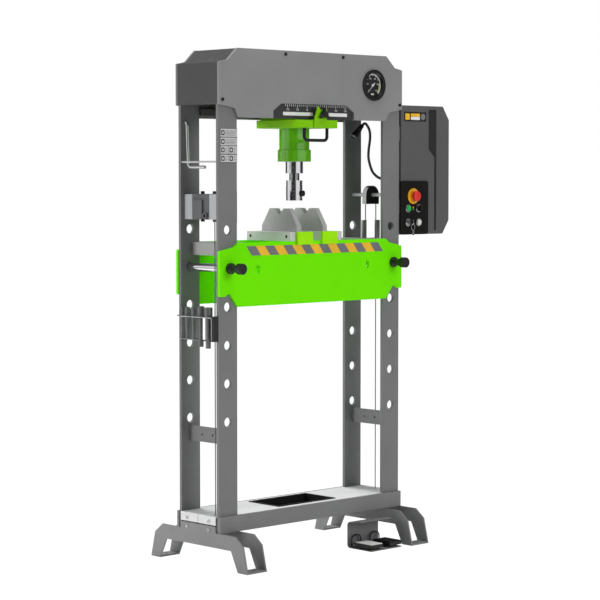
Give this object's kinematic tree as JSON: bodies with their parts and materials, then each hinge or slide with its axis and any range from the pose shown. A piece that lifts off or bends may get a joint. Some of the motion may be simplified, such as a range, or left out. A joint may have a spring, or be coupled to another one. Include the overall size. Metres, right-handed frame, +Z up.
{
  "type": "workshop press",
  "caption": "Floor-standing H-frame workshop press with a hydraulic ram on a sliding carriage, a pinned bolster, a control cabinet, a work lamp and a foot pedal unit.",
  "frame": {"origin": "on the floor, at the centre of the four anchor holes in the feet", "axes": "+X to the operator's right, +Y to the back, +Z up"},
  "size_m": [1.251, 0.54, 1.89],
  "materials": {
    "grey_paint": "satin",
    "green_paint": "satin",
    "light_paint": "satin",
    "black_paint": "satin",
    "cabinet_paint": "textured",
    "bare_steel": "satin",
    "bright_steel": "polished",
    "chrome": "polished",
    "cast_housing": "satin",
    "power_pack": "matte",
    "black_plastic": "matte",
    "gloss_black": "gloss",
    "red_plastic": "gloss",
    "green_plastic": "gloss",
    "white_plastic": "gloss",
    "clear_glass": "clear",
    "black_rubber": "matte"
  },
  "bodies": {
    "frame": {"uprights": "grey_paint", "head_front_plate": "grey_paint", "head_rear_plate": "grey_paint", "head_cover": "grey_paint", "base_beams": "grey_paint", "feet": "grey_paint", "lower_braces": "grey_paint", "carriage_rails": "grey_paint", "bolster_front_plate": "green_paint", "bolster_rear_plate": "green_paint", "stop_tabs": "green_paint", "deck_sheets": "light_paint", "bolster_guides": "light_paint", "scale_plate": "black_paint", "bin_tray": "black_paint", "tool_rack": "black_paint", "winch_back_plate": "black_paint", "pulley_cases": "black_paint", "lamp_arm": "black_paint", "pedal_housing": "black_paint", "cabinet_shell": "cabinet_paint", "cabinet_cover": "cabinet_paint", "press_bars": "bare_steel", "v_blocks": "bare_steel", "frame_bolts": "bare_steel", "punches": "bright_steel", "cross_rods": "bright_steel", "lift_rope": "bright_steel", "rope_pulleys": "bright_steel", "crank_handle": "bright_steel", "winch_housing": "cast_housing", "winch_drum_covers": "cast_housing", "hydraulic_unit": "power_pack", "gauge_case": "black_plastic", "control_panel": "black_plastic", "lamp_head": "gloss_black", "gauge_glass": "clear_glass", "pedal_cables": "black_rubber"},
    "pin_left": {"pin_left": "chrome", "pin_grip_left": "black_plastic"},
    "pin_right": {"pin_right": "chrome", "pin_grip_right": "black_plastic"},
    "carriage": {"carriage_plate": "green_paint", "carriage_slide": "green_paint", "pointer_bracket": "green_paint", "carriage_handle": "black_paint", "cylinder_barrel": "green_paint", "gland_collar": "green_paint"},
    "clamp_knob": {"clamp_knob": "black_plastic"},
    "ram": {"piston_rod": "chrome", "chuck": "chrome"},
    "chuck_screw": {"chuck_screw": "black_paint"},
    "gauge_needle": {"gauge_needle": "white_plastic"},
    "estop": {"estop_button": "red_plastic"},
    "start_button": {"start_button": "green_plastic"},
    "jog_button": {"jog_button": "white_plastic"},
    "selector": {"selector_knob": "black_plastic"},
    "key": {"key_switch": "chrome"},
    "pedal_left": {"pedal_left": "white_plastic"},
    "pedal_right": {"pedal_right": "white_plastic"}
  },
  "joints": [
    {"name": "carriage_travel", "type": "slide", "parent": "frame", "child": "carriage", "axis": [1, 0, 0], "range_m": [-0.17, 0.17]},
    {"name": "ram_stroke", "type": "slide", "parent": "carriage", "child": "ram", "axis": [0, 0, -1], "range_m": [0, 0.16]},
    {"name": "clamp_knob_turn", "type": "hinge", "parent": "carriage", "child": "clamp_knob", "pos_m": [0.021, -0.154, 1.658], "axis": [0, -1, 0], "range_deg": [-180, 180]},
    {"name": "chuck_screw_turn", "type": "hinge", "parent": "ram", "child": "chuck_screw", "pos_m": [0.02032, -0.03477, 1.362], "axis": [0.2588, -0.9659, 0], "continuous": true},
    {"name": "pin_left_pull", "type": "slide", "parent": "frame", "child": "pin_left", "axis": [0, -1, 0], "range_m": [0, 0.265]},
    {"name": "pin_right_pull", "type": "slide", "parent": "frame", "child": "pin_right", "axis": [0, -1, 0], "range_m": [0, 0.265]},
    {"name": "gauge_needle_turn", "type": "hinge", "parent": "frame", "child": "gauge_needle", "pos_m": [0.315, -0.122, 1.776], "axis": [0, 1, 0], "range_deg": [0, 270], "stiffness_Nm_per_rad": 0.003, "springref_deg": -17.19},
    {"name": "estop_press", "type": "slide", "parent": "frame", "child": "estop", "axis": [0, 1, 0], "range_m": [0, 0.006]},
    {"name": "start_press", "type": "slide", "parent": "frame", "child": "start_button", "axis": [0, 1, 0], "range_m": [0, 0.004], "stiffness_N_per_m": 800, "springref_m": -0.002},
    {"name": "jog_press", "type": "slide", "parent": "frame", "child": "jog_button", "axis": [0, 1, 0], "range_m": [0, 0.004], "stiffness_N_per_m": 800, "springref_m": -0.002},
    {"name": "selector_turn", "type": "hinge", "parent": "frame", "child": "selector", "pos_m": [0.574, -0.118, 1.301], "axis": [0, 1, 0], "range_deg": [-45, 45]},
    {"name": "key_turn", "type": "hinge", "parent": "frame", "child": "key", "pos_m": [0.514, -0.118, 1.246], "axis": [0, 1, 0], "range_deg": [0, 90]},
    {"name": "pedal_left_press", "type": "hinge", "parent": "frame", "child": "pedal_left", "pos_m": [0.206, -0.16, 0.015], "axis": [1, 0, 0], "range_deg": [0, 4], "stiffness_Nm_per_rad": 8, "springref_deg": -5.73},
    {"name": "pedal_right_press", "type": "hinge", "parent": "frame", "child": "pedal_right", "pos_m": [0.306, -0.16, 0.015], "axis": [1, 0, 0], "range_deg": [0, 4], "stiffness_Nm_per_rad": 8, "springref_deg": -5.73}
  ]
}
